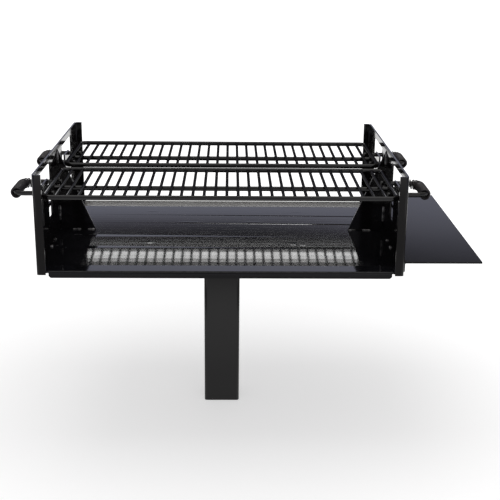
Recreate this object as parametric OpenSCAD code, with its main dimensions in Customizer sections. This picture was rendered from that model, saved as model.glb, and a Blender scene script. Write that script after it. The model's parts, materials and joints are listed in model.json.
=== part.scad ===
/* [Post] */
// Width of the square post
post_w = 101.6; // [60:0.1:150]
// Wall of the post
post_wall = 4.8; // [3:0.1:8]
// Outer corner radius of the post
post_corner_r = 8; // [5:0.5:14]
// Side to side size of the cap plate
cap_w = 180; // [152:1:260]
// Front to back size of the cap plate
cap_d = 150; // [152:1:260]
// Thickness of the cap plate
cap_t = 8; // [5:0.5:14]

/* [Body] */
// Width over both end plates
body_w = 928; // [800:1:1100]
// Depth over the flanges of an end plate
body_d = 711; // [640:1:800]
// Height of the top edge above the ground
top_h = 755; // [700:1:900]
// Height of an end plate
plate_h = 258; // [240:1:300]
// Thickness of the folded sheets
sheet_t = 4.8; // [3:0.1:6]
// Outer radius of a fold
fold_r = 7.2; // [6.5:0.1:10]
// Width of the inward flanges, front and back
flange_w = 23; // [16:0.5:26]
// Width of the corner cut at the top of a back flange
corner_cut_w = 7; // [3:0.5:12]
// Height of the corner cut at the top of a back flange
corner_cut_h = 12; // [5:0.5:20]

/* [Grate levels] */
// Number of heights that a grate can take
levels = 3; // [2:1:4]
// Step between two heights
level_pitch = 43.5; // [36:0.5:46]
// Thickness of a tooth between two notches
tooth_t = 10.5; // [6:0.5:14]
// Width of the lane that a handle leg slides in
lane_w = 15; // [14:0.1:20]
// Width of the lane and its notches together
slot_w = 49; // [36:0.5:56]
// Margin from the cut-out to the top edge
window_margin = 18; // [10:0.5:22]
// Height of the window above the tongue
window_h = 37; // [30:0.5:44]

/* [Fire pan] */
// Rise of the pan floor above the lower edge of the end plates
pan_lift = 5; // [1:0.5:6]
// Width of the raised strip along each long edge
pan_strip_w = 60.6; // [30:0.1:80]
// Rise of the outer edge of that strip
pan_rise = 3.5; // [2:0.5:12]
// Rise of the floor's middle over the strips
pan_crown = 11; // [4:0.5:16]
// Depth of the skirt below the outer edge
skirt_h = 17.5; // [12:0.5:30]
// Space between a skirt's end and the flange beside it
skirt_gap = 6; // [5:0.5:20]
// Corner cut at the foot of a skirt
skirt_cut = 5; // [4:0.5:10]

/* [Dividers] */
// Thickness of a divider
divider_t = 5; // [3:0.1:8]
// Reach of a divider's toe from the outside of the end plate
divider_toe = 105; // [80:1:140]
// Drop of a divider's head below the top edge
divider_drop = 8; // [0:0.5:20]

/* [Shelf] */
// Reach of the shelf from the end plate
shelf_w = 202; // [150:1:300]
// Front to back length of the shelf
shelf_d = 676; // [500:1:700]
// Height of the shelf above the lower edge of the end plates
shelf_lift = 33; // [26:0.5:60]
// Height of the shelf's flange against the end plate
shelf_flange_h = 27; // [15:0.5:28]

/* [Grates] */
// Diameter of the frame rod
rod_d = 12.7; // [9:0.1:14]
// Diameter of the bars
bar_d = 8; // [5:0.1:10]
// Number of bars in a grate
bar_count = 30; // [20:1:34]
// Drop of the grate rods below the top edge
grate_drop = 61.3; // [50:0.1:70]
// Space between a grate frame and an end plate
frame_side_gap = 10; // [8:0.05:30]
// Space between a grate frame and a front or back flange
frame_end_gap = 10.05; // [8:0.05:40]
// Space between the two grates
grate_mid_gap = 45.6; // [20:0.1:60]
// Bend radius of the frame's corners, on the rod's centre
frame_bend_r = 20; // [14:0.5:26]
// Distance of the cross rod behind the front rod
cross_rod_back = 138; // [110:1:190]

/* [Handles] */
// Diameter of the handle rod
handle_d = 12.7; // [10:0.1:13.5]
// Distance between the two legs of a handle
leg_pitch = 124; // [110:1:150]
// Reach of the grip axis from the end plate
grip_reach = 68; // [60:1:110]
// Bend radius of a handle's corners, on the rod's centre
handle_bend_r = 25; // [22:0.5:32]
// Length of leg that runs in past the frame rod's centre
leg_tail = 12.7; // [8:0.1:20]

/* [Grips] */
// Outer diameter of the wound grip
grip_d = 27.5; // [25:0.1:28]
// Diameter of the grip wire
wire_d = 3.6; // [2.5:0.1:3.6]
// Curls along the straight part of a handle
straight_curls = 15; // [10:1:15]
// Curls in the front bend of a handle
front_bend_curls = 2; // [1:1:4]
// Curls in the back bend of a handle
back_bend_curls = 5; // [2:1:5]
// Advance of a curl in a bend
bend_curl_pitch = 7.9; // [7.8:0.1:8.2]

/* [Fits] */
// Space left at welded joints
weld_gap = 0.1; // [0.05:0.05:0.2]
// Running space between a handle leg and the wall of its lane
leg_gap = 0.3; // [0.2:0.05:0.5]
// Space between a grip and the rod that it hangs on
grip_gap = 0.3; // [0.2:0.05:0.5]

/* [Hidden] */
$fn = 64;
overrun = 2;

// Heights
plate_z = top_h - plate_h;
pan_z = plate_z + pan_lift;
shelf_z = plate_z + shelf_lift;
grate_z = top_h - grate_drop;
leg_z = grate_z - rod_d / 2 - handle_d / 2;
cross_rod_z = grate_z - bar_d / 2 - rod_d / 2;

// Places from the middle outwards
web_in_x = body_w / 2 - sheet_t;
flange_in_y = body_d / 2 - sheet_t;
flange_edge_x = body_w / 2 - flange_w;
frame_x = web_in_x - frame_side_gap - rod_d / 2;
rod_out_y = flange_in_y - frame_end_gap - rod_d / 2;
rod_in_y = grate_mid_gap / 2 + rod_d / 2;
grate_y = (rod_out_y + rod_in_y) / 2;
grate_half_d = (rod_out_y - rod_in_y) / 2;
bar_pitch = 2 * frame_x / (bar_count + 1);
grip_x = body_w / 2 + grip_reach;

// Section of the fire pan, along Y
pan_edge_y = flange_in_y - weld_gap;
pan_fold_y = pan_edge_y - pan_strip_w;
pan_tilt = atan(pan_rise / pan_strip_w);
crown_steps = 24;
crown_shares = [for (i = [0 : crown_steps]) 2 * i / crown_steps - 1];

// Height of the crowned floor at a share of the way from its middle to its fold
function crown_z(share) = pan_z + pan_crown * (1 - share * share);

// Points of the crowned floor's line from front to back, at a height over that line
function crown_line(rise) = [for (share = crown_shares) [share * pan_fold_y, crown_z(share) + rise]];

// Top of the post, with the cap plate's front and back edges against the crowned floor
post_h = crown_z(cap_d / 2 / pan_fold_y) - sheet_t - cap_t;

function reversed(list) = [for (i = [len(list) - 1 : -1 : 0]) list[i]];

// Cut-outs for the handle legs
slot_bottom_z = leg_z - handle_d / 2 - (levels - 1) * level_pitch - leg_gap;
window_top_z = top_h - window_margin;
tongue_z = window_top_z - window_h;
lane_back_y = handle_d / 2 + leg_gap;

// Winding of a grip
sides = 6;
rings_per_curl = 8;
curls = straight_curls + front_bend_curls + back_bend_curls;
ring_count = curls * rings_per_curl;
coil_r = (grip_d - wire_d) / 2;
straight_half = leg_pitch / 2 - handle_bend_r;
straight_curl_pitch = 2 * straight_half / straight_curls;
wire_in_r = coil_r * cos(180 / rings_per_curl) - wire_d / 2;
grip_drop = wire_in_r - handle_d / 2 - grip_gap;
turn_step = 1 / rings_per_curl;
tangent_step = turn_step / 8;

enamel = [0.10, 0.10, 0.11];
enamel_pale = [0.30, 0.31, 0.34];
rod_black = [0.13, 0.13, 0.13];
wire_grey = [0.36, 0.35, 0.36];

// Rectangle with round corners, given by its low and high corner
module round_rect(low, high, r) {
    translate([low[0] + r, low[1]]) square([high[0] - low[0] - 2 * r, high[1] - low[1]]);
    translate([low[0], low[1] + r]) square([high[0] - low[0], high[1] - low[1] - 2 * r]);
    for (x = [low[0] + r, high[0] - r], y = [low[1] + r, high[1] - r])
        translate([x, y]) circle(r);
}

// Block between two corners
module block(low, high) {
    translate(low) cube(high - low);
}

// Round rod along X between two places
module rod_x(d, x_low, x_high) {
    translate([x_low, 0, 0]) rotate([0, 90, 0]) cylinder(h = x_high - x_low, d = d);
}

// Round rod along Y between two places
module rod_y(d, y_low, y_high) {
    translate([0, y_high, 0]) rotate([90, 0, 0]) cylinder(h = y_high - y_low, d = d);
}

// Quarter bend of a round rod, in the XY plane, from +X round to +Y
module bend(d, r) {
    rotate_extrude(angle = 90) translate([r, 0]) circle(d = d);
}

// Square tube set in the ground
module post() {
    color(enamel) linear_extrude(post_h) difference() {
        round_rect([-post_w / 2, -post_w / 2], [post_w / 2, post_w / 2], post_corner_r);
        round_rect([post_wall - post_w / 2, post_wall - post_w / 2],
            [post_w / 2 - post_wall, post_w / 2 - post_wall], post_corner_r - post_wall);
    }
}

// Plate between the post and the fire pan
module post_cap_plate() {
    color(enamel) translate([0, 0, post_h]) linear_extrude(cap_t)
        round_rect([-cap_w / 2, -cap_d / 2], [cap_w / 2, cap_d / 2], post_corner_r);
}

// Skirt that hangs from the front edge of the fire pan
module pan_skirt() {
    half = flange_edge_x - skirt_gap;
    foot_z = pan_z + pan_rise - skirt_h;
    root_z = pan_z + pan_rise - sheet_t / 2;
    translate([0, sheet_t + weld_gap - body_d / 2 + sheet_t, 0]) rotate([90, 0, 0]) linear_extrude(sheet_t)
        polygon([
            [-half, root_z],
            [-half, foot_z + skirt_cut],
            [skirt_cut - half, foot_z],
            [half - skirt_cut, foot_z],
            [half, foot_z + skirt_cut],
            [half, root_z]
        ]);
}

// Waste outside the fold between the front strip and its skirt
module pan_fold_waste() {
    half = flange_edge_x - skirt_gap + overrun;
    bend_y = pan_edge_y - fold_r;
    bend_z = pan_z + pan_rise - fold_r * (1 + sin(pan_tilt)) / cos(pan_tilt);
    rotate([90, 0, 270]) translate([0, 0, -half]) linear_extrude(2 * half) difference() {
        translate([bend_y, bend_z]) square(fold_r + overrun);
        translate([bend_y, bend_z]) circle(fold_r);
    }
}

// Folded pan: crowned floor, raised strips and a skirt front and back
module fire_pan() {
    half = web_in_x - weld_gap;
    edge_z = pan_z + pan_rise;
    color(enamel_pale) difference() {
        fire_pan_blank(half, edge_z);
        pan_fold_waste();
        mirror([0, 1, 0]) pan_fold_waste();
    }
}

// Pan before its two long folds are rounded
module fire_pan_blank(half, edge_z) {
    union() {
        intersection() {
            translate([-half, 0, 0]) rotate([90, 0, 90]) linear_extrude(2 * half)
                polygon(concat(
                    [[-pan_edge_y, edge_z]],
                    crown_line(0),
                    [[pan_edge_y, edge_z], [pan_edge_y, edge_z - sheet_t]],
                    reversed(crown_line(-sheet_t)),
                    [[-pan_edge_y, edge_z - sheet_t]]
                ));
            linear_extrude(edge_z + pan_crown)
                round_rect([-half, -pan_edge_y], [half, pan_edge_y], fold_r - sheet_t);
        }
        pan_skirt();
        mirror([0, 1, 0]) pan_skirt();
    }
}

// Lane and notches for one handle leg, as a flat outline in Y and Z, back wall at y = 0
module leg_slot() {
    difference() {
        translate([-slot_w, slot_bottom_z]) square([slot_w, tongue_z - slot_bottom_z + overrun]);
        for (i = [1 : levels - 1]) translate([-slot_w - overrun, slot_bottom_z + i * level_pitch - tooth_t]) {
            square([slot_w + overrun - lane_w - tooth_t / 2, tooth_t]);
            translate([slot_w + overrun - lane_w - tooth_t / 2, tooth_t / 2]) circle(d = tooth_t);
        }
    }
}

// Cut-out for the two legs of one handle: two slots joined by a window
module handle_cutout() {
    for (side = [-1, 1]) translate([side * leg_pitch / 2 + lane_back_y, 0]) leg_slot();
    translate([lane_back_y - leg_pitch / 2 - slot_w, tongue_z]) square([leg_pitch + slot_w, window_h]);
}

// End plate on the right: web, flanges, handle cut-outs and corner cut
module end_plate() {
    half_d = body_d / 2;
    half_w = body_w / 2;
    low_x = half_w - 3 * flange_w;
    color(enamel) difference() {
        translate([0, 0, plate_z]) linear_extrude(plate_h) difference() {
            round_rect([half_w - 2 * flange_w, -half_d], [half_w, half_d], fold_r);
            round_rect([low_x, -flange_in_y], [web_in_x, flange_in_y], fold_r - sheet_t);
            translate([low_x, -half_d - overrun]) square([2 * flange_w, body_d + 2 * overrun]);
        }
        translate([web_in_x - overrun, 0, 0]) rotate([90, 0, 90]) linear_extrude(sheet_t + 2 * overrun)
            for (side = [-1, 1]) translate([side * grate_y, 0]) handle_cutout();
        translate([0, half_d + overrun, 0]) rotate([90, 0, 0]) linear_extrude(sheet_t + overrun)
            polygon([
                [half_w - corner_cut_w, top_h],
                [half_w - corner_cut_w, top_h + overrun],
                [half_w + overrun, top_h + overrun],
                [half_w + overrun, top_h - corner_cut_h],
                [half_w, top_h - corner_cut_h]
            ]);
    }
}

module left_end_plate() {
    mirror([1, 0, 0]) end_plate();
}

module right_end_plate() {
    end_plate();
}

// Divider on the right: slanted plate that stands on the crown of the pan
module divider() {
    toe_x = body_w / 2 - divider_toe;
    root_x = web_in_x - weld_gap;
    foot_z = crown_z(0) + weld_gap;
    color(enamel) translate([0, divider_t / 2, 0]) rotate([90, 0, 0]) linear_extrude(divider_t)
        polygon([[toe_x, foot_z], [root_x, foot_z], [root_x, top_h - divider_drop]]);
}

module left_divider() {
    mirror([1, 0, 0]) divider();
}

module right_divider() {
    divider();
}

// Shelf with its flange against the right end plate
module utility_shelf() {
    root_x = body_w / 2 + weld_gap;
    end_x = body_w / 2 + shelf_w;
    half_d = shelf_d / 2;
    fold_z = shelf_z - fold_r;
    color(enamel_pale) {
        block([root_x + fold_r, -half_d, shelf_z - sheet_t], [end_x, half_d, shelf_z]);
        block([root_x, -half_d, shelf_z - shelf_flange_h], [root_x + sheet_t, half_d, fold_z]);
        translate([root_x + fold_r, half_d, fold_z]) rotate([90, 0, 0]) linear_extrude(shelf_d)
            intersection() {
                difference() {
                    circle(fold_r);
                    circle(fold_r - sheet_t);
                }
                translate([-fold_r, 0]) square(fold_r);
            }
    }
}

// Bent rod frame of a grate, about the grate's middle
module grate_frame() {
    straight_x = frame_x - frame_bend_r;
    straight_y = grate_half_d - frame_bend_r;
    color(rod_black) {
        for (side = [-1, 1]) {
            translate([0, side * grate_half_d, 0]) rod_x(rod_d, -straight_x, straight_x);
            translate([side * frame_x, 0, 0]) rod_y(rod_d, -straight_y, straight_y);
        }
        translate([straight_x, straight_y, 0]) bend(rod_d, frame_bend_r);
        translate([-straight_x, straight_y, 0]) rotate(90) bend(rod_d, frame_bend_r);
        translate([-straight_x, -straight_y, 0]) rotate(180) bend(rod_d, frame_bend_r);
        translate([straight_x, -straight_y, 0]) rotate(270) bend(rod_d, frame_bend_r);
    }
}

// Bars of a grate, their ends shaped to the frame rods
module grate_bars() {
    color(rod_black) difference() {
        for (i = [1 : bar_count])
            translate([i * bar_pitch - frame_x, 0, 0]) rod_y(bar_d, -grate_half_d, grate_half_d);
        for (side = [-1, 1])
            translate([0, side * grate_half_d, 0]) rod_x(rod_d + 2 * weld_gap, -frame_x, frame_x);
    }
}

// Rod under the bars
module cross_rod() {
    half = frame_x - rod_d / 2 - weld_gap;
    color(rod_black) translate([0, cross_rod_back - grate_half_d, cross_rod_z - grate_z])
        rod_x(rod_d, -half, half);
}

// Handle on the right: two legs under the frame, two bends and the bar between them
module handle() {
    bend_x = grip_x - handle_bend_r;
    color(rod_black) translate([0, 0, leg_z - grate_z]) {
        for (side = [-1, 1])
            translate([0, side * leg_pitch / 2, 0]) rod_x(handle_d, frame_x - leg_tail, bend_x);
        translate([grip_x, 0, 0]) rod_y(handle_d, -straight_half, straight_half);
        translate([bend_x, straight_half, 0]) bend(handle_d, handle_bend_r);
        translate([bend_x, -straight_half, 0]) rotate(270) bend(handle_d, handle_bend_r);
    }
}

// Length along the handle rod at a turn, zero in the middle of the grip
function along(turn) =
    let (bare = abs(turn) - straight_curls / 2)
    bare < 0 ? turn * straight_curl_pitch : sign(turn) * (straight_half + bare * bend_curl_pitch);

// Angle of the handle rod at a length
function swing(s) = abs(s) <= straight_half ? 0 : (abs(s) - straight_half) / handle_bend_r * 180 / PI;

// Place on the handle rod's centre at a length
function rod_place(s) = [
    grip_x - handle_bend_r * (1 - cos(swing(s))),
    abs(s) <= straight_half ? s : sign(s) * (straight_half + handle_bend_r * sin(swing(s))),
    0
];

// Direction square to the handle rod, away from the end plate
function outward(s) = [cos(swing(s)), sign(s) * sin(swing(s)), 0];

// Direction from the handle rod to the wire at a turn
function spoke(turn) = outward(along(turn)) * cos(360 * turn) + [0, 0, sin(360 * turn)];

// Centre of the wire at a turn
function wire_place(turn) =
    rod_place(along(turn)) + coil_r * spoke(turn) + [0, 0, leg_z - grate_z - grip_drop];

function unit(v) = v / norm(v);

// Direction of the wire at a turn
function wire_way(turn) = unit(wire_place(turn + tangent_step) - wire_place(turn - tangent_step));

// Points of one ring round the wire
function wire_ring(turn) =
    let (way = wire_way(turn), raw = spoke(turn), up = unit(raw - (raw * way) * way), across = cross(way, up))
    [for (i = [0 : sides - 1])
        wire_place(turn) + wire_d / 2 * (cos(360 * i / sides) * up + sin(360 * i / sides) * across)];

first_turn = turn_step / 2 - straight_curls / 2 - front_bend_curls;
turns = [for (i = [0 : ring_count]) first_turn + i / rings_per_curl];
ring_points = [for (turn = turns) each wire_ring(turn)];
ring_faces = concat(
    [for (i = [1 : sides - 2]) [0, i, i + 1]],
    [for (k = [0 : ring_count - 1], i = [0 : sides - 1], half = [0, 1])
        let (a = k * sides + i, b = k * sides + (i + 1) % sides)
        half == 0 ? [a, b + sides, b] : [a, a + sides, b + sides]],
    [for (i = [1 : sides - 2]) [ring_count * sides, ring_count * sides + i + 1, ring_count * sides + i]]
);

// Least space between a curl and the next, measured on the wire's centre line
centres = [for (turn = turns) wire_place(turn)];
line = [for (i = [0 : ring_count - 1]) each [centres[i], (centres[i] + centres[i + 1]) / 2]];
line_step = 2 * rings_per_curl;
least_gap = min([for (i = [0 : len(line) - 1], k = [line_step - 5 : line_step + 5])
    if (i + k < len(line)) norm(line[i + k] - line[i])]) - wire_d;
echo(grip_least_gap = least_gap);

// Wound grip on the right handle, one unbroken wire
module grip() {
    color(wire_grey) polyhedron(points = ring_points, faces = ring_faces);
}

// Puts a piece of a grate in its place: -1 for the front grate, 1 for the back grate
module on_grate(side) {
    translate([0, side * grate_y, grate_z]) children();
}

module front_grate_frame() { on_grate(-1) grate_frame(); }
module front_grate_bars() { on_grate(-1) grate_bars(); }
module front_cross_rod() { on_grate(-1) cross_rod(); }
module front_left_handle() { on_grate(-1) mirror([1, 0, 0]) handle(); }
module front_right_handle() { on_grate(-1) handle(); }
module front_left_grip() { on_grate(-1) mirror([1, 0, 0]) grip(); }
module front_right_grip() { on_grate(-1) grip(); }
module back_grate_frame() { on_grate(1) grate_frame(); }
module back_grate_bars() { on_grate(1) grate_bars(); }
module back_cross_rod() { on_grate(1) cross_rod(); }
module back_left_handle() { on_grate(1) mirror([1, 0, 0]) handle(); }
module back_right_handle() { on_grate(1) handle(); }
module back_left_grip() { on_grate(1) mirror([1, 0, 0]) grip(); }
module back_right_grip() { on_grate(1) grip(); }

post();
post_cap_plate();
fire_pan();
left_end_plate();
right_end_plate();
left_divider();
right_divider();
utility_shelf();
front_grate_frame();
front_grate_bars();
front_cross_rod();
front_left_handle();
front_right_handle();
front_left_grip();
front_right_grip();
back_grate_frame();
back_grate_bars();
back_cross_rod();
back_left_handle();
back_right_handle();
back_left_grip();
back_right_grip();
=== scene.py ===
# Park barbecue grill pedestal: finishes, wound grips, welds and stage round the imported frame
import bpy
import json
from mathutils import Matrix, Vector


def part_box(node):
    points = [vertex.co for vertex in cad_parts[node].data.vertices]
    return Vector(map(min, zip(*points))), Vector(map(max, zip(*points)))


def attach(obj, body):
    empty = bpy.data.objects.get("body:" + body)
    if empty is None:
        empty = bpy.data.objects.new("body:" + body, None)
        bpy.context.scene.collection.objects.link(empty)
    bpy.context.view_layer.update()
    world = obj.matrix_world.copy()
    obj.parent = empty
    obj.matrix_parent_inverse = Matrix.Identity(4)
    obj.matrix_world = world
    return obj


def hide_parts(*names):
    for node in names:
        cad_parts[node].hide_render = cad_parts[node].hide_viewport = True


bl_info = {
    "name": "Park Grill Pedestal",
    "version": (1, 0, 0),
    "blender": (4, 5, 0),
    "location": "3D View > Sidebar > Grill",
    "description": "Dresses the packed frame of a park barbecue grill on a post",
    "category": "Object",
}

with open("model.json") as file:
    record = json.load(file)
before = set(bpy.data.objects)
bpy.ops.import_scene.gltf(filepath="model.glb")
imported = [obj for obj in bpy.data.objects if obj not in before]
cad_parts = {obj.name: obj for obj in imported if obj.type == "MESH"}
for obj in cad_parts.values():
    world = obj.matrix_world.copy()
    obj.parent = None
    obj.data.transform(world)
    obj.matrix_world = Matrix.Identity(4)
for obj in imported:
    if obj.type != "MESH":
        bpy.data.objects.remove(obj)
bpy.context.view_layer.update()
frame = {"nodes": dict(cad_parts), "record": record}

import json
import math
import random

import bmesh
import bpy
from bpy.props import FloatProperty, FloatVectorProperty, IntProperty, PointerProperty
from mathutils import Matrix, Vector, noise

MM = 0.001
GRATES = {"front": -1, "back": 1}
SIDES = {"left": -1, "right": 1}

# Places of the frame, in millimetres
PAN_Z = 502.0
CROWN = 11.0
FOLD_Y = 290.0
SHEET_T = 4.8
WEB_IN_X = 459.2
WEB_OUT_X = 464.0
GRATE_Z = 693.7
LEG_Z = 681.0
ROD_R = 6.35
BAR_R = 4.0
FRAME_X = 442.85
ROD_IN_Y = 29.15
ROD_OUT_Y = 334.3
BAR_COUNT = 30
CROSS_ROD_BACK = 138.0
GRATE_Y = 181.725
LEG_HALF = 62.0
GRIP_X = 532.0
BEND_R = 25.0
STRAIGHT_HALF = 37.0
POST_HALF = 50.8
CAP_X = 90.0
CAP_Y = 75.0
DIVIDER_TOE_X = 359.0
DIVIDER_HALF_T = 2.5
DIVIDER_WELD_X = ((DIVIDER_TOE_X + 3, DIVIDER_TOE_X + 24), (DIVIDER_TOE_X + 42, DIVIDER_TOE_X + 66))
DIVIDER_WELD_Z = ((540, 585), (635, 680), (705, 740))
PAN_WELD_Y = ((-163, -150), (-107, -92), (92, 107), (150, 163))
PAN_UNDER_WELD_Y = ((-250, -205), (-60, -20), (20, 60), (205, 250))
SHELF_Z = 530.0
SHELF_FLANGE_H = 27.0
SHELF_WELD_Y = ((-335, -290), (-120, -75), (75, 120), (290, 335))
BEND_CURL_PITCH = 7.9

# Colours and depths that the finishes share
DUST_COLOR = (0.16, 0.15, 0.14)
SPECK_COLOR = (0.22, 0.21, 0.20)
RUBBED_COLOR = (0.085, 0.078, 0.074)
PRINT_DEPTH = 0.12

# The photo's camera: angles in degrees, place in metres, focal length in pixels
PHOTO_ANGLES = (1.21246, -17.75086, 0.58047)
PHOTO_PLACE = (0.0224326, -2.7363347, 1.3280156)
PHOTO_FOCAL = 997.166
PHOTO_WIDTH = 500.0
SENSOR_WIDTH = 36.0

# Studio surroundings: height over the horizon and colour
SKY_STOPS = [
    (0.0, (0.60, 0.61, 0.66)),
    (0.05, (0.42, 0.43, 0.49)),
    (0.16, (0.40, 0.41, 0.49)),
    (0.225, (0.39, 0.40, 0.50)),
    (0.245, (0.33, 0.335, 0.41)),
    (0.263, (0.21, 0.21, 0.26)),
    (0.287, (0.07, 0.07, 0.082)),
    (0.308, (0.04, 0.04, 0.042)),
    (0.325, (0.035, 0.035, 0.035)),
    (0.345, (0.08, 0.075, 0.07)),
    (0.375, (0.30, 0.28, 0.26)),
    (0.42, (0.40, 0.39, 0.38)),
    (0.52, (0.30, 0.29, 0.28)),
    (1.0, (0.40, 0.40, 0.40)),
]


# ---------------------------------------------------------------- shader maths

class Field:
    """A number that varies over a surface, written with the usual operators."""

    def __init__(self, shop, socket):
        self.shop = shop
        self.socket = socket

    def _with(self, operation, *others, swap=False):
        values = [self, *others]
        if swap:
            values.reverse()
        return self.shop.number(operation, *values)

    def __add__(self, other):
        return self._with("ADD", other)

    def __sub__(self, other):
        return self._with("SUBTRACT", other)

    def __mul__(self, other):
        return self._with("MULTIPLY", other)

    def __truediv__(self, other):
        return self._with("DIVIDE", other)

    def __pow__(self, other):
        return self._with("POWER", other)

    def __rsub__(self, other):
        return self._with("SUBTRACT", other, swap=True)

    __radd__ = __add__
    __rmul__ = __mul__


class Shop:
    """Builds the nodes of one material or world."""

    def __init__(self, tree):
        self.tree = tree
        tree.nodes.clear()

    def node(self, kind, settings=None, **inputs):
        """Adds a node, sets it up, then fills its sockets by name."""
        made = self.tree.nodes.new(kind)
        for key, value in (settings or {}).items():
            if key == "stops":
                self._stops(made.color_ramp, value)
            else:
                setattr(made, key, value)
        for key, value in inputs.items():
            self.feed(self._socket(made, key), value)
        return made

    def _socket(self, made, key):
        wanted = key.replace("_", " ").lower()
        for socket in made.inputs:
            if socket.enabled and socket.name.lower() == wanted:
                return socket
        raise KeyError(f"{made.bl_idname} has no input {wanted}")

    def _stops(self, ramp, stops):
        while len(ramp.elements) > len(stops):
            ramp.elements.remove(ramp.elements[-1])
        while len(ramp.elements) < len(stops):
            ramp.elements.new(1.0)
        for element, (place, value) in zip(ramp.elements, stops):
            element.position = place
            element.color = (*value, 1.0) if isinstance(value, tuple) else (value, value, value, 1.0)

    def feed(self, socket, value):
        if isinstance(value, Field):
            value = value.socket
        if isinstance(value, bpy.types.NodeSocket):
            self.tree.links.new(value, socket)
        elif socket.type == "RGBA" and len(value) == 3:
            socket.default_value = (*value, 1.0)
        else:
            socket.default_value = value

    def number(self, operation, *values):
        made = self.tree.nodes.new("ShaderNodeMath")
        made.operation = operation
        for socket, value in zip(made.inputs, values):
            self.feed(socket, value)
        return Field(self, made.outputs[0])

    def place(self):
        """Object coordinates, which are metres in the frame."""
        return self.node("ShaderNodeTexCoord").outputs["Object"]

    def scaled(self, vector, factors):
        return self.node("ShaderNodeMapping", None, Vector=vector, Scale=factors).outputs[0]

    def noise(self, vector, scale, detail=3.0, rough=0.5, stretch=(1.0, 1.0, 1.0)):
        """Noise from about 0 to 1, scale in waves per metre."""
        made = self.node(
            "ShaderNodeTexNoise", None,
            Vector=self.scaled(vector, stretch), Scale=scale, Detail=detail, Roughness=rough,
        )
        return Field(self, made.outputs[0])

    def step(self, value, low, high, out_low=0.0, out_high=1.0):
        """Smooth step of a value between two limits."""
        made = self.node(
            "ShaderNodeMapRange", {"interpolation_type": "SMOOTHSTEP"},
            Value=value, From_Min=low, From_Max=high, To_Min=out_low, To_Max=out_high,
        )
        return Field(self, made.outputs[0])

    def blend(self, factor, first, second):
        """Mixes two colours."""
        made = self.node("ShaderNodeMix", {"data_type": "RGBA"})
        self.feed(made.inputs[0], factor)
        self.feed(made.inputs[6], first)
        self.feed(made.inputs[7], second)
        return made.outputs[2]

    def axes(self, vector):
        made = self.node("ShaderNodeSeparateXYZ", None, Vector=vector)
        return [Field(self, socket) for socket in made.outputs]

    def bump(self, height, depth, strength=1.0, under=None):
        inputs = {"Strength": strength, "Distance": depth, "Height": height}
        if under is not None:
            inputs["Normal"] = under
        return self.node("ShaderNodeBump", None, **inputs).outputs[0]


def new_material(name):
    material = bpy.data.materials.new(name)
    material.use_nodes = True
    return material, Shop(material.node_tree)


def close(shop, **inputs):
    """Principled surface with its output."""
    surface = shop.node("ShaderNodeBsdfPrincipled", None, **inputs)
    out = shop.node("ShaderNodeOutputMaterial")
    shop.tree.links.new(surface.outputs[0], out.inputs[0])
    return surface


def facing_up(shop):
    """1 on faces that look up, 0 on the rest."""
    normal = shop.node("ShaderNodeNewGeometry").outputs["Normal"]
    return shop.step(shop.axes(normal)[2], 0.55, 0.98)


# ------------------------------------------------------------------- finishes

def enamel_material(name, color, rough, look, pan=False):
    """Gloss enamel on sheet steel: orange peel, sheet waves, rolling lines, dust and specks."""
    material, shop = new_material(name)
    place = shop.place()
    broad = shop.noise(place, 5.0, 3.0, 0.55)
    patch = shop.noise(place, 34.0, 4.0, 0.6)
    grain = shop.noise(place, 900.0, 2.0, 0.6)
    specks = shop.step(shop.noise(place, 420.0, 2.0, 0.5), 0.70, 0.78)
    streak = shop.noise(place, 60.0, 3.0, 0.6, (0.35, 1.0, 0.35))
    dust = facing_up(shop) * shop.step(patch * 0.6 + broad * 0.4, 0.42, 0.72) * look.dust
    tone = shop.blend(shop.step(broad, 0.35, 0.7), color, tuple(c * 1.35 + 0.002 for c in color))
    tone = shop.blend(dust, tone, DUST_COLOR)
    tone = shop.blend(specks * 0.10, tone, SPECK_COLOR)
    shine = (
        rough
        + (streak - 0.5) * 0.012
        + (patch - 0.5) * 0.01
        + dust * 0.9
        + specks * 0.04
        + (grain - 0.5) * 0.01
    )
    peel = shop.noise(place, 160.0, 2.0, 0.5)
    normal = shop.bump(peel, look.peel * MM, 0.3)
    wave = shop.noise(place, 5.0, 1.0, 0.4, (1.0, 0.6, 1.0))
    normal = shop.bump(wave, look.wave * MM, 0.5, normal)
    drawn = shop.noise(place, 1.0, 2.0, 0.5, (60.0, 1200.0, 60.0))
    normal = shop.bump(drawn, look.drawn * MM, 1.0, normal)
    if pan:
        normal = shop.bump(print_through(shop, place), PRINT_DEPTH * MM, 0.8, normal)
        normal = shop.bump(flattening(shop, place), (CROWN - look.crown) * MM, 1.0, normal)
    close(shop, Base_Color=tone, Roughness=shine, IOR=1.42, Normal=normal)
    return material


def flattening(shop, place):
    """Rise from the middle of the pan to its folds, to mirror as a flatter sheet would; none on the shelf."""
    x, y, _ = shop.axes(place)
    share = shop.number("MINIMUM", (y / (FOLD_Y * MM)) ** 2.0, 1.0)
    return share * shop.number("LESS_THAN", x, (WEB_IN_X + 2.0) * MM)


def print_through(shop, place):
    """Marks that the welds under the pan leave in its floor."""
    x, y, _ = shop.axes(place)
    height = None
    for mark_x, mark_y, reach_x, reach_y in PAN_MARKS:
        across = (x - mark_x * MM) / (reach_x * MM)
        along = (y - mark_y * MM) / (reach_y * MM)
        far = shop.number("SQRT", across * across + along * along)
        ring = shop.step(far, 0.25, 1.0, 1.0, 0.0)
        height = ring if height is None else height + ring
    return height


# Middle and reach of each mark in the pan floor, in millimetres
PAN_MARKS = (
    (-214.0, 215.0, 22.0, 8.0),
    (224.0, 214.0, 24.0, 8.0),
    (-95.0, 80.0, 45.0, 9.0),
    (92.0, 82.0, 40.0, 8.0),
    (-196.0, -116.0, 12.0, 14.0),
    (196.0, -130.0, 12.0, 14.0),
    (222.0, -134.0, 10.0, 12.0),
)


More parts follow.
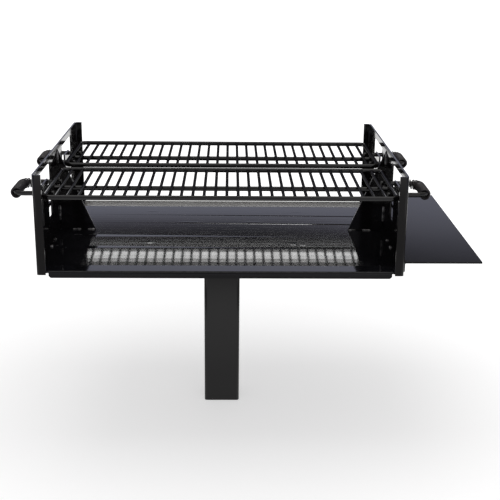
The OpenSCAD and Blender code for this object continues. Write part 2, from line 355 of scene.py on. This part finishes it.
def rod_material(name, color, look):
    """Enamel over round rod: softer gloss, fine runs and a few bare rubbed spots on top."""
    material, shop = new_material(name)
    place = shop.place()
    broad = shop.noise(place, 14.0, 3.0, 0.55)
    fine = shop.noise(place, 260.0, 3.0, 0.6)
    grain = shop.noise(place, 1100.0, 2.0, 0.6)
    up = facing_up(shop)
    rubbed = up * shop.step(fine * 0.55 + broad * 0.45, 0.50, 0.66) * look.rub
    tone = shop.blend(shop.step(broad, 0.3, 0.7), color, tuple(c * 1.5 + 0.001 for c in color))
    tone = shop.blend(rubbed, tone, RUBBED_COLOR)
    shine = 0.05 + (broad - 0.5) * 0.03 + (grain - 0.5) * 0.02 + rubbed * 0.20
    runs = shop.noise(place, 120.0, 2.0, 0.5, (0.5, 0.5, 1.0))
    normal = shop.bump(runs, 0.03 * MM, 0.4)
    normal = shop.bump(grain, 0.015 * MM, 0.5, normal)
    gloss = close(shop, Base_Color=tone, Roughness=shine, IOR=1.55, Normal=normal)
    # Thin coat over the rod's scale, dull where it is seen edge on
    matte = shop.node("ShaderNodeBsdfDiffuse", None, Color=tone)
    facing = shop.node("ShaderNodeLayerWeight", None, Blend=0.5).outputs["Facing"]
    both = shop.node("ShaderNodeMixShader", None, Fac=shop.step(facing, 0.60, 0.78, 0.0, look.rim))
    out = gloss.outputs[0].links[0].to_socket
    shop.tree.links.new(gloss.outputs[0], both.inputs[1])
    shop.tree.links.new(matte.outputs[0], both.inputs[2])
    shop.tree.links.new(both.outputs[0], out)
    return material


def wire_material(name, color):
    """Drawn wire with a thin dark coat, greyer where hands rub it."""
    material, shop = new_material(name)
    place = shop.place()
    fine = shop.noise(place, 380.0, 3.0, 0.6)
    broad = shop.noise(place, 40.0, 3.0, 0.5)
    grain = shop.noise(place, 2400.0, 2.0, 0.6)
    worn = shop.step(broad * 0.6 + fine * 0.4, 0.45, 0.62)
    tone = shop.blend(worn, color, tuple(c * 1.9 for c in color))
    shine = 0.34 + (fine - 0.5) * 0.16 - worn * 0.06 + (grain - 0.5) * 0.05
    normal = shop.bump(grain, 0.03 * MM, 0.6)
    close(shop, Base_Color=tone, Roughness=shine, Metallic=worn * 0.35 + 0.1, Normal=normal)
    return material


def seam_material(name, color):
    """Thin enamel over rippled weld metal, worn bare on the ripples."""
    material, shop = new_material(name)
    place = shop.place()
    broad = shop.noise(place, 90.0, 3.0, 0.6)
    fine = shop.noise(place, 700.0, 3.0, 0.6)
    bare = shop.step(broad * 0.6 + fine * 0.4, 0.42, 0.60)
    coated = tuple(c * 0.3 for c in color)
    tone = shop.blend(bare, coated, tuple(min(1.0, c * 3.0) for c in color))
    shine = 0.22 + (fine - 0.5) * 0.2
    normal = shop.bump(fine, 0.06 * MM, 0.6)
    close(shop, Base_Color=tone, Roughness=shine, Metallic=bare * 0.6, Normal=normal)
    return material


def floor_material(stage):
    """Pale studio floor, lifted to white for what the camera sees, with the object's shadow kept; for gloss
    rays it glows as painted light, brightest behind the grill, weaker near it and far in front, which sets
    what the object's reflections show.
    """
    material, shop = new_material("studio_floor")
    place = shop.place()
    grain = shop.noise(place, 3.0, 3.0, 0.5)
    tone = shop.blend(grain, tuple(stage.floor_color), tuple(c * 0.985 for c in stage.floor_color))
    x, y, _ = shop.axes(place)
    far = shop.number("SQRT", x * x + y * y)
    rays = shop.node("ShaderNodeLightPath").outputs
    seen = Field(shop, rays["Is Camera Ray"])
    gloss = Field(shop, rays["Is Glossy Ray"]) + Field(shop, rays["Is Transmission Ray"])
    gloss = shop.number("MINIMUM", gloss, 1.0)
    # Painted light: glow seen only by gloss and transmission rays, brighter behind the grill, near it and far
    # in front, standing in for light in the object's reflections
    behind = shop.step(y, 0.0, 1.6)
    near = shop.step(far, 1.4, 0.8, 0.0, 0.52)
    front = shop.step(y, -3.0, -3.8, 0.0, 0.6)
    lift = shop.step(far, 0.2, 2.5, stage.floor_lift, 1.0) * seen + (behind + near + front) * gloss
    diffuse = shop.node("ShaderNodeBsdfDiffuse", None, Color=tone)
    glow = shop.node("ShaderNodeEmission", None, Color=(1.0, 1.0, 1.0), Strength=lift)
    both = shop.node("ShaderNodeAddShader")
    shop.tree.links.new(diffuse.outputs[0], both.inputs[0])
    shop.tree.links.new(glow.outputs[0], both.inputs[1])
    out = shop.node("ShaderNodeOutputMaterial")
    shop.tree.links.new(both.outputs[0], out.inputs[0])
    return material


# ----------------------------------------------------------------- mesh making

def mesh_object(name, points, faces, material, smooth=True):
    mesh = bpy.data.meshes.new(name)
    mesh.from_pydata([tuple(c * MM for c in p) for p in points], [], faces)
    mesh.materials.append(material)
    piece = bpy.data.objects.new(name, mesh)
    bpy.context.scene.collection.objects.link(piece)
    work = bmesh.new()
    work.from_mesh(mesh)
    bmesh.ops.recalc_face_normals(work, faces=work.faces)
    work.to_mesh(mesh)
    work.free()
    for polygon in mesh.polygons:
        polygon.use_smooth = smooth
    return piece


class Loft:
    """Collects closed tubes in one mesh."""

    def __init__(self):
        self.points = []
        self.faces = []

    def tube(self, centres, radii, sides, up_hint, flat=1.0):
        """Tube along centres with a radius at each, closed by caps; flat squashes it along up."""
        first = len(self.points)
        count = len(centres)
        for i, centre in enumerate(centres):
            way = (centres[min(i + 1, count - 1)] - centres[max(i - 1, 0)]).normalized()
            hint = up_hint[i] if isinstance(up_hint, list) else up_hint
            up = (hint - way * hint.dot(way)).normalized()
            across = way.cross(up)
            for k in range(sides):
                turn = 2 * math.pi * k / sides
                self.points.append(centre + (up * math.cos(turn) * flat + across * math.sin(turn)) * radii[i])
        for i in range(count - 1):
            for k in range(sides):
                a = first + i * sides + k
                b = first + i * sides + (k + 1) % sides
                self.faces.append((a, b, b + sides, a + sides))
        self.faces.append(tuple(first + k for k in reversed(range(sides))))
        last = first + (count - 1) * sides
        self.faces.append(tuple(last + k for k in range(sides)))

    def bead(self, start, end, radius, chance, up, wave=3.6, sides=8, flat=0.8):
        """Weld bead between two points, rippled and rounded off at its ends."""
        run = end - start
        steps = max(6, int(run.length / (wave / 4.0)))
        side = run.cross(up).normalized()
        drift = chance.random() * 50.0
        centres, radii = [], []
        for i in range(steps + 1):
            share = i / steps
            ends = math.sqrt(max(0.02, 1.0 - abs(2.0 * share - 1.0) ** 6))
            ripple = 1.0 + 0.10 * math.sin(2 * math.pi * share * run.length / wave)
            uneven = 1.0 + 0.16 * noise.noise(Vector((share * run.length / 9.0 + drift, 3.7, 1.1)))
            sway = noise.noise(Vector((share * run.length / 14.0 + drift, 9.2, 5.5))) * radius * 0.25
            centres.append(start + run * share + side * sway)
            radii.append(radius * ends * ripple * uneven)
        self.tube(centres, radii, sides, up, flat)

    def collar(self, centre, axis, reach, radius, chance, sides=6, steps=16):
        """Rippled ring of weld round the end of a rod."""
        axis = axis.normalized()
        side = axis.orthogonal().normalized()
        other = axis.cross(side)
        first = len(self.points)
        drift = chance.random() * 50.0
        for i in range(steps):
            turn = 2 * math.pi * i / steps
            out = side * math.cos(turn) + other * math.sin(turn)
            uneven = noise.noise(Vector((math.cos(turn) * 1.5 + drift, math.sin(turn) * 1.5, 2.0)))
            thick = radius * (1.0 + 0.22 * uneven)
            for k in range(sides):
                bend = 2 * math.pi * k / sides
                ring = out * (reach + thick * math.cos(bend)) + axis * thick * math.sin(bend)
                self.points.append(centre + ring)
        for i in range(steps):
            for k in range(sides):
                a = first + i * sides + k
                b = first + i * sides + (k + 1) % sides
                c = first + ((i + 1) % steps) * sides + (k + 1) % sides
                d = first + ((i + 1) % steps) * sides + k
                self.faces.append((a, b, c, d))

    def piece(self, name, material, body, slot):
        made = mesh_object(name, self.points, self.faces, material)
        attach(made, body)
        return made


def floor_height(y):
    """Top of the crowned pan floor at a distance from its middle."""
    return PAN_Z + CROWN * (1.0 - (y / FOLD_Y) ** 2)


# ------------------------------------------------------------------- settings

class GrillLook(bpy.types.PropertyGroup):
    enamel_color: FloatVectorProperty(
        name="Enamel colour", description="Colour of the gloss enamel on the plates and post",
        subtype="COLOR", size=3, min=0.0, max=1.0, default=(0.006, 0.005, 0.0055))
    pan_color: FloatVectorProperty(
        name="Pan colour", description="Colour of the enamel on the fire pan and the shelf",
        subtype="COLOR", size=3, min=0.0, max=1.0, default=(0.006, 0.006, 0.0075))
    rod_color: FloatVectorProperty(
        name="Rod colour", description="Colour of the enamel on the grates and handles",
        subtype="COLOR", size=3, min=0.0, max=1.0, default=(0.004, 0.0035, 0.0036))
    wire_color: FloatVectorProperty(
        name="Wire colour", description="Colour of the wound wire grips",
        subtype="COLOR", size=3, min=0.0, max=1.0, default=(0.045, 0.041, 0.043))
    seam_color: FloatVectorProperty(
        name="Seam colour", description="Colour of the thin enamel over the weld beads",
        subtype="COLOR", size=3, min=0.0, max=1.0, default=(0.18, 0.175, 0.17))
    rough: FloatProperty(
        name="Enamel roughness", description="Roughness of clean gloss enamel", subtype="FACTOR",
        min=0.0, max=1.0, default=0.085)
    pan_rough: FloatProperty(
        name="Pan roughness", description="Roughness of the enamel on the fire pan and the shelf",
        subtype="FACTOR", min=0.0, max=1.0, default=0.08)
    peel: FloatProperty(
        name="Orange peel", description="Depth of the enamel's orange peel, in millimetres",
        min=0.0, max=1.0, default=0.003)
    wave: FloatProperty(
        name="Sheet waves", description="Depth of the broad waves in the sheet, in millimetres",
        min=0.0, max=5.0, default=0.012)
    crown: FloatProperty(
        name="Mirrored crown", description="Crown that the pan floor's mirror images show, in millimetres",
        min=0.0, max=11.0, default=4.3)
    drawn: FloatProperty(
        name="Rolling lines", description="Depth of the fine rolling lines along the sheet, in millimetres",
        min=0.0, max=1.0, default=0.004)
    dust: FloatProperty(
        name="Dust", description="Dust on faces that look up", subtype="FACTOR",
        min=0.0, max=1.0, default=0.012)
    rub: FloatProperty(
        name="Rubbed rods", description="Wear on top of the rods", subtype="FACTOR",
        min=0.0, max=1.0, default=0.06)
    rim: FloatProperty(
        name="Dull rims", description="How far the rods' gloss fades where they are seen edge on",
        subtype="FACTOR", min=0.0, max=1.0, default=0.93)
    edge: FloatProperty(
        name="Edge rounding", description="Rounding of sheared plate edges", unit="LENGTH",
        subtype="DISTANCE", min=0.0, max=0.003, default=0.0006)


class GrillGrip(bpy.types.PropertyGroup):
    wire: FloatProperty(
        name="Wire", description="Diameter of the grip wire", unit="LENGTH", subtype="DISTANCE",
        min=0.002, max=0.005, default=0.0036)
    reach: FloatProperty(
        name="Coil radius", description="Radius of the coil's centre line", unit="LENGTH", subtype="DISTANCE",
        min=0.009, max=0.014, default=0.01195)
    drop: FloatProperty(
        name="Sag", description="How far the loose coil hangs under the handle rod", unit="LENGTH",
        subtype="DISTANCE", min=0.0, max=0.004, default=0.00259)
    straight_curls: IntProperty(
        name="Straight curls", description="Curls along the straight of the grip", min=6, max=20, default=15)
    front_curls: IntProperty(
        name="Front curls", description="Curls in the front bend", min=0, max=5, default=2)
    back_curls: IntProperty(
        name="Back curls", description="Curls in the back bend", min=0, max=5, default=5)


class GrillWeld(bpy.types.PropertyGroup):
    sheet: FloatProperty(
        name="Sheet bead", description="Radius of the beads between sheets", unit="LENGTH",
        subtype="DISTANCE", min=0.001, max=0.006, default=0.003)
    rod: FloatProperty(
        name="Rod bead", description="Radius of the beads on the rods", unit="LENGTH", subtype="DISTANCE",
        min=0.0005, max=0.004, default=0.0016)
    seed: IntProperty(name="Seed", description="Seed of the beads' unevenness", min=0, default=7)


class GrillStage(bpy.types.PropertyGroup):
    floor_color: FloatVectorProperty(
        name="Floor colour", description="Colour of the studio floor", subtype="COLOR", size=3,
        min=0.0, max=1.0, default=(0.86, 0.86, 0.86))
    floor_lift: FloatProperty(
        name="Floor lift", description="Light the floor adds near the object for the camera and gloss",
        min=0.0, max=1.0, default=0.55)
    strip: FloatProperty(
        name="Back strip", description="Radiance of the strip light behind the grill", min=0.0, default=4.3)
    top: FloatProperty(
        name="Top light", description="Radiance of the overhead light", min=0.0, default=0.8)
    fill: FloatProperty(
        name="Fill", description="Radiance of the fill light on the viewer's side", min=0.0, default=0.5)


# ------------------------------------------------------------------ operators

FINISH = {}


class GRILL_OT_finishes(bpy.types.Operator):
    """Makes the finishes, puts them on the frame's nodes and rounds the sheared edges"""

    bl_idname = "grill.finishes"
    bl_label = "Finishes"

    def execute(self, context):
        look = context.scene.grill_look
        FINISH["enamel"] = enamel_material("gloss_enamel", tuple(look.enamel_color), look.rough, look)
        FINISH["enamel_pan"] = enamel_material(
            "gloss_enamel_pan", tuple(look.pan_color), look.pan_rough, look, pan=True)
        FINISH["grate_rod"] = rod_material("rod_enamel", tuple(look.rod_color), look)
        FINISH["grip_wire"] = wire_material("grip_wire", tuple(look.wire_color))
        FINISH["seam"] = seam_material("weld_seam", tuple(look.seam_color))
        for part in frame["record"]["subparts"]:
            node = frame["nodes"][part["node"]]
            for slot in node.material_slots:
                slot.material = FINISH[part["material_slot"]]
            if part["material_slot"] in ("enamel", "enamel_pan"):
                self.round_edges(node, look.edge)
        return {"FINISHED"}

    def round_edges(self, node, width):
        weld = node.modifiers.new("join", "WELD")
        weld.merge_threshold = 0.00002
        bevel = node.modifiers.new("edge", "BEVEL")
        bevel.width = 3.0 * width if node.name.endswith("_divider") else width
        bevel.segments = 2
        bevel.limit_method = "ANGLE"
        bevel.angle_limit = math.radians(40.0)
        bevel.harden_normals = True
        bevel.use_clamp_overlap = True


class GRILL_OT_grips(bpy.types.Operator):
    """Winds the four wire grips in place of the frame's plain coils"""

    bl_idname = "grill.grips"
    bl_label = "Wound grips"

    def execute(self, context):
        grip = context.scene.grill_grip
        for grate, row in GRATES.items():
            for hand, side in SIDES.items():
                self.wind(f"{grate}_{hand}", row, side, grip)
        return {"FINISHED"}

    def wind(self, name, row, side, grip):
        curls = grip.straight_curls + grip.front_curls + grip.back_curls
        pitch = 2 * STRAIGHT_HALF / grip.straight_curls
        rings = 30

        def along(turn):
            bare = abs(turn) - grip.straight_curls / 2
            if bare < 0:
                return turn * pitch
            return math.copysign(STRAIGHT_HALF + bare * BEND_CURL_PITCH, turn)

        def swing(s):
            return max(0.0, abs(s) - STRAIGHT_HALF) / BEND_R

        def rod_place(s):
            a = swing(s)
            y = s if abs(s) <= STRAIGHT_HALF else math.copysign(STRAIGHT_HALF + BEND_R * math.sin(a), s)
            return Vector((GRIP_X - BEND_R * (1 - math.cos(a)), y, LEG_Z - grip.drop / MM))

        def spoke(turn):
            s = along(turn)
            a = swing(s)
            out = Vector((math.cos(a), math.copysign(math.sin(a), s), 0.0))
            return out * math.cos(2 * math.pi * turn) + Vector((0, 0, math.sin(2 * math.pi * turn)))

        reach = grip.reach / MM
        start = 1.0 / 16.0 - grip.straight_curls / 2 - grip.front_curls
        turns = [start + i / rings for i in range(int(curls * rings) + 1)]
        centres = [rod_place(along(t)) + spoke(t) * reach for t in turns]
        hints = [spoke(t) for t in turns]
        radii = [grip.wire / MM / 2] * len(turns)
        loft = Loft()
        loft.tube(centres, radii, 10, hints)
        loft.points = [Vector((side * p.x, p.y + row * GRATE_Y, p.z)) for p in loft.points]
        body = name.split("_")[0] + "_grate"
        made = loft.piece(f"{name}_wound_grip", FINISH["grip_wire"], body, "grip_wire")
        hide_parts(f"{name}_grip")


class GRILL_OT_grate_welds(bpy.types.Operator):
    """Adds the small welds of both grates: bar ends, cross rods and handle legs"""

    bl_idname = "grill.grate_welds"
    bl_label = "Grate welds"

    def execute(self, context):
        weld = context.scene.grill_weld
        radius = weld.rod / MM
        for grate, row in GRATES.items():
            chance = random.Random(weld.seed + row)
            ends = Loft()
            middle = row * GRATE_Y
            pitch = 2 * FRAME_X / (BAR_COUNT + 1)
            half = (ROD_OUT_Y - ROD_IN_Y) / 2
            for i in range(1, BAR_COUNT + 1):
                x = i * pitch - FRAME_X
                for end in (-1, 1):
                    centre = Vector((x, middle + end * (half - ROD_R + 0.4), GRATE_Z))
                    ends.collar(centre, Vector((0, 1, 0)), BAR_R, radius * 0.75, chance)
            ends.piece(f"{grate}_bar_welds", FINISH["grate_rod"], f"{grate}_grate", "grate_rod")
            rest = Loft()
            cross_y = middle + CROSS_ROD_BACK - half
            cross_z = GRATE_Z - BAR_R - ROD_R
            for side in SIDES.values():
                centre = Vector((side * (FRAME_X - ROD_R + 0.6), cross_y, cross_z + 3.0))
                rest.collar(centre, Vector((1, 0, 0)), ROD_R - 1.6, radius, chance)
                for leg in (-1, 1):
                    for face in (-1, 1):
                        y = middle + leg * LEG_HALF + face * 5.6
                        start = Vector((side * (FRAME_X - 5.0), y, GRATE_Z - ROD_R))
                        end = Vector((side * (FRAME_X + 5.0), y, GRATE_Z - ROD_R))
                        rest.bead(start, end, radius * 1.4, chance, Vector((0, 0, 1)), wave=3.0)
            rest.piece(f"{grate}_rod_welds", FINISH["grate_rod"], f"{grate}_grate", "grate_rod")
        return {"FINISHED"}


class GRILL_OT_stand_welds(bpy.types.Operator):
    """Adds the weld beads between the sheets, the post and its cap plate"""

    bl_idname = "grill.stand_welds"
    bl_label = "Stand welds"

    def execute(self, context):
        weld = context.scene.grill_weld
        chance = random.Random(weld.seed + 40)
        size = weld.sheet / MM
        up = Vector((0, 0, 1))
        for hand, side in SIDES.items():
            beads = Loft()
            inward = Vector((-side, 0, 0))
            # Pan against the end plate, above and below
            x = side * (WEB_IN_X - 1.4)
            for y0, y1 in PAN_WELD_Y:
                start = Vector((x, y0, floor_height(y0) + 1.2))
                beads.bead(start, Vector((x, y1, floor_height(y1) + 1.2)), size, chance, inward + up)
            x = side * (WEB_IN_X - 1.2)
            for y0, y1 in PAN_UNDER_WELD_Y:
                start = Vector((x, y0, floor_height(y0) - SHEET_T - 1.0))
                end = Vector((x, y1, floor_height(y1) - SHEET_T - 1.0))
                beads.bead(start, end, size * 0.8, chance, inward - up)
            # Divider against the end plate and the pan
            x = side * (WEB_IN_X - 1.6)
            for face in (-1, 1):
                y = face * (DIVIDER_HALF_T + 1.2)
                corner = Vector((-side, face, 0))
                for z0, z1 in DIVIDER_WELD_Z:
                    beads.bead(Vector((x, y, z0)), Vector((x, y, z1)), size * 0.8, chance, corner)
                z = floor_height(y) + 1.2
                for x0, x1 in DIVIDER_WELD_X:
                    start = Vector((side * x0, y + face * 0.4, z))
                    end = Vector((side * x1, y + face * 0.4, z))
                    beads.bead(start, end, size, chance, up + Vector((0, face, 0)))
            beads.piece(f"{hand}_plate_welds", FINISH["seam"], "stand", "enamel")
        self.post_beads(size, chance)
        shelf = Loft()
        x = WEB_OUT_X + 2.6
        z = SHELF_Z - SHELF_FLANGE_H - 1.0
        for y0, y1 in SHELF_WELD_Y:
            shelf.bead(Vector((x, y0, z)), Vector((x, y1, z)), size * 0.8, chance, Vector((1, 0, -1)))
        shelf.piece("shelf_welds", FINISH["enamel_pan"], "stand", "enamel_pan")
        return {"FINISHED"}

    def post_beads(self, size, chance):
        """Beads round the post and the cap plate, each under the plate above it."""
        beads = Loft()
        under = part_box("post_cap_plate")[0].z / MM - 1.6
        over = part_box("post_cap_plate")[1].z / MM - 0.8
        reach = POST_HALF + 1.4
        for face in (-1, 1):
            facing_y = Vector((0, face, -1))
            facing_x = Vector((face, 0, -1))
            y = face * reach
            beads.bead(Vector((-44, y, under)), Vector((44, y, under)), size * 1.3, chance, facing_y)
            x = face * reach
            beads.bead(Vector((x, -44, under)), Vector((x, 44, under)), size * 1.3, chance, facing_x)
            y = face * (CAP_Y + 1.0)
            for x0, x1 in ((-78, -38), (38, 78)):
                beads.bead(Vector((x0, y, over)), Vector((x1, y, over)), size, chance, facing_y)
            x = face * (CAP_X + 1.0)
            for y0, y1 in ((-60, -25), (25, 60)):
                beads.bead(Vector((x, y0, over)), Vector((x, y1, over)), size, chance, facing_x)
        beads.piece("post_welds", FINISH["enamel"], "stand", "enamel")


class GRILL_OT_stage(bpy.types.Operator):
    """Makes the floor, the studio light and the camera"""

    bl_idname = "grill.stage"
    bl_label = "Stage"

    def execute(self, context):
        stage = context.scene.grill_stage
        self.floor(stage)
        self.world(context.scene)
        self.lamp("back_strip", (0.0, 3.7, 1.965), (0.0, -0.2, 0.50), 1.9, 0.12, stage.strip)
        self.lamp("top_soft", (0.0, 0.2, 3.6), (0.0, 0.0, 0.5), 3.2, 2.4, stage.top)
        self.lamp("fill_soft", (1.6, -3.6, 2.6), (0.0, 0.0, 0.5), 2.2, 1.8, stage.fill)
        self.camera(context.scene)
        view = context.scene.view_settings
        view.view_transform = "Standard"
        return {"FINISHED"}

    def floor(self, stage):
        half = 40.0 / MM
        points = [Vector((x * half, y * half, 0)) for x, y in ((-1, -1), (1, -1), (1, 1), (-1, 1))]
        made = mesh_object("studio_floor", points, [(0, 1, 2, 3)], floor_material(stage))

    def world(self, scene):
        world = bpy.data.worlds.new("studio")
        world.use_nodes = True
        scene.world = world
        shop = Shop(world.node_tree)
        way = shop.node("ShaderNodeTexCoord").outputs["Generated"]
        across, _, height = shop.axes(way)
        height = height - shop.step(across, 0.04, 0.20) * 0.028
        ramp = shop.node("ShaderNodeValToRGB", {"stops": SKY_STOPS}, Fac=height)
        ground = shop.node("ShaderNodeBackground", None, Color=ramp.outputs[0], Strength=1.0)
        out = shop.node("ShaderNodeOutputWorld")
        shop.tree.links.new(ground.outputs[0], out.inputs[0])

    def lamp(self, name, place, aim, wide, high, radiance):
        light = bpy.data.lights.new(name, "AREA")
        light.shape = "RECTANGLE"
        light.size = wide
        light.size_y = high
        light.energy = radiance * math.pi * wide * high
        made = bpy.data.objects.new(name, light)
        bpy.context.scene.collection.objects.link(made)
        made.location = place
        made.rotation_euler = (Vector(aim) - Vector(place)).to_track_quat("-Z", "Y").to_euler()

    def camera(self, scene):
        yaw, pitch, roll = (math.radians(a) for a in PHOTO_ANGLES)
        look = Vector((math.sin(yaw) * math.cos(pitch), math.cos(yaw) * math.cos(pitch), math.sin(pitch)))
        level = Vector((math.cos(yaw), -math.sin(yaw), 0.0))
        above = level.cross(look)
        right = level * math.cos(roll) + above * math.sin(roll)
        top = above * math.cos(roll) - level * math.sin(roll)
        lens = bpy.data.cameras.new("photo_camera")
        lens.sensor_width = SENSOR_WIDTH
        lens.lens = SENSOR_WIDTH * PHOTO_FOCAL / PHOTO_WIDTH
        lens.clip_start = 0.05
        lens.clip_end = 200.0
        made = bpy.data.objects.new("photo_camera", lens)
        scene.collection.objects.link(made)
        turn = Matrix((right, top, -look)).transposed()
        made.matrix_world = Matrix.Translation(PHOTO_PLACE) @ turn.to_4x4()
        scene.camera = made


class GRILL_PT_panel(bpy.types.Panel):
    """Lists the steps that dress the grill and their settings"""

    bl_idname = "GRILL_PT_panel"
    bl_label = "Park grill"
    bl_space_type = "VIEW_3D"
    bl_region_type = "UI"
    bl_category = "Grill"

    def draw(self, context):
        layout = self.layout
        for title, group, steps in (
            ("Finishes", "grill_look", ("grill.finishes",)),
            ("Grips", "grill_grip", ("grill.grips",)),
            ("Welds", "grill_weld", ("grill.grate_welds", "grill.stand_welds")),
            ("Stage", "grill_stage", ("grill.stage",)),
        ):
            box = layout.box()
            box.label(text=title)
            settings = getattr(context.scene, group)
            for key in settings.__annotations__:
                box.prop(settings, key)
            for step in steps:
                box.operator(step)


GROUPS = {
    "grill_look": GrillLook,
    "grill_grip": GrillGrip,
    "grill_weld": GrillWeld,
    "grill_stage": GrillStage,
}
CLASSES = (
    *GROUPS.values(), GRILL_OT_finishes, GRILL_OT_grips, GRILL_OT_grate_welds, GRILL_OT_stand_welds,
    GRILL_OT_stage, GRILL_PT_panel,
)


def register():
    for cls in CLASSES:
        bpy.utils.register_class(cls)
    for name, group in GROUPS.items():
        setattr(bpy.types.Scene, name, PointerProperty(type=group))


def unregister():
    for name in GROUPS:
        delattr(bpy.types.Scene, name)
    for cls in reversed(CLASSES):
        bpy.utils.unregister_class(cls)


def main():
    register()
    bpy.ops.grill.finishes()
    bpy.ops.grill.grips()
    bpy.ops.grill.grate_welds()
    bpy.ops.grill.stand_welds()
    bpy.ops.grill.stage()


if __name__ == "__main__":
    main()
